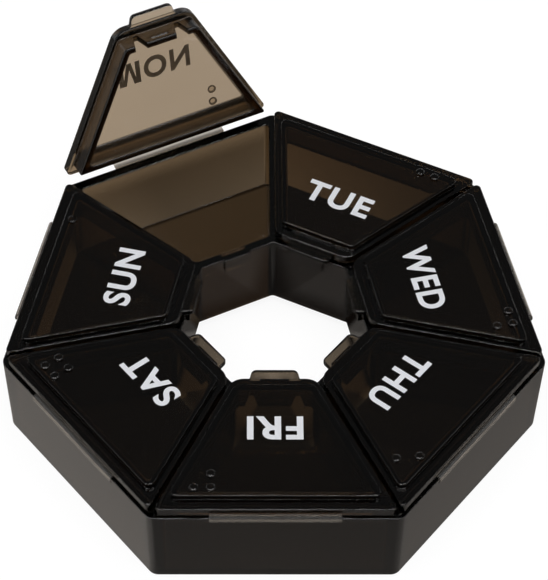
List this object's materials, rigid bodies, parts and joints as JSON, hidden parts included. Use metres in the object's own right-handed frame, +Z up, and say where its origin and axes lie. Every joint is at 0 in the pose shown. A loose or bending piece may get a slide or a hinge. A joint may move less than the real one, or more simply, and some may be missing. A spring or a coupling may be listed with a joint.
{
  "type": "weekly pill box",
  "caption": "Seven-sided ring pill organizer in smoke-coloured clear plastic, with a hinged snap lid over each day's compartment and an open centre.",
  "frame": {"origin": "on the surface the tray stands on, under the middle of the box round the whole object as it stands, with one lid open", "axes": "+Z up; -Y towards the front side; +X to the right, seen from the front"},
  "size_m": [0.1068, 0.1088, 0.0538],
  "materials": {
    "tray_plastic": "smoke-coloured clear plastic, moulded, glossy",
    "lid_plastic": "smoke-coloured clear plastic, polished, with white printed day names",
    "hinge_film": "smoke-coloured clear plastic in a thin film, stress-whitened"
  },
  "bodies": {
    "base": {"base_tray": "tray_plastic", "sunday_hinge": "hinge_film", "monday_hinge": "hinge_film", "tuesday_hinge": "hinge_film", "wednesday_hinge": "hinge_film", "thursday_hinge": "hinge_film", "friday_hinge": "hinge_film", "saturday_hinge": "hinge_film"},
    "sunday_lid": {"sunday_lid": "lid_plastic"},
    "monday_lid": {"monday_lid": "lid_plastic"},
    "tuesday_lid": {"tuesday_lid": "lid_plastic"},
    "wednesday_lid": {"wednesday_lid": "lid_plastic"},
    "thursday_lid": {"thursday_lid": "lid_plastic"},
    "friday_lid": {"friday_lid": "lid_plastic"},
    "saturday_lid": {"saturday_lid": "lid_plastic"}
  },
  "joints": [
    {"name": "sunday_lid_hinge", "type": "hinge", "parent": "base", "child": "sunday_lid", "pos_m": [-0.04909, 0.00745, 0.01955], "axis": [-0.2225, -0.9749, 0], "range_deg": [0, 180], "deforming": ["sunday_hinge"]},
    {"name": "monday_lid_hinge", "type": "hinge", "parent": "base", "child": "monday_lid", "pos_m": [-0.02185, 0.04161, 0.01955], "axis": [-0.901, -0.4339, 0], "range_deg": [-99.2, 80.8], "deforming": ["monday_hinge"]},
    {"name": "tuesday_lid_hinge", "type": "hinge", "parent": "base", "child": "tuesday_lid", "pos_m": [0.02185, 0.04161, 0.01955], "axis": [-0.901, 0.4339, 0], "range_deg": [0, 180], "deforming": ["tuesday_hinge"]},
    {"name": "wednesday_lid_hinge", "type": "hinge", "parent": "base", "child": "wednesday_lid", "pos_m": [0.04909, 0.00745, 0.01955], "axis": [-0.2225, 0.9749, 0], "range_deg": [0, 180], "deforming": ["wednesday_hinge"]},
    {"name": "thursday_lid_hinge", "type": "hinge", "parent": "base", "child": "thursday_lid", "pos_m": [0.03937, -0.03515, 0.01955], "axis": [0.6235, 0.7818, 0], "range_deg": [0, 180], "deforming": ["thursday_hinge"]},
    {"name": "friday_lid_hinge", "type": "hinge", "parent": "base", "child": "friday_lid", "pos_m": [0, -0.05411, 0.01955], "axis": [1, 0, 0], "range_deg": [0, 180], "deforming": ["friday_hinge"]},
    {"name": "saturday_lid_hinge", "type": "hinge", "parent": "base", "child": "saturday_lid", "pos_m": [-0.03937, -0.03515, 0.01955], "axis": [0.6235, -0.7818, 0], "range_deg": [0, 180], "deforming": ["saturday_hinge"]}
  ]
}
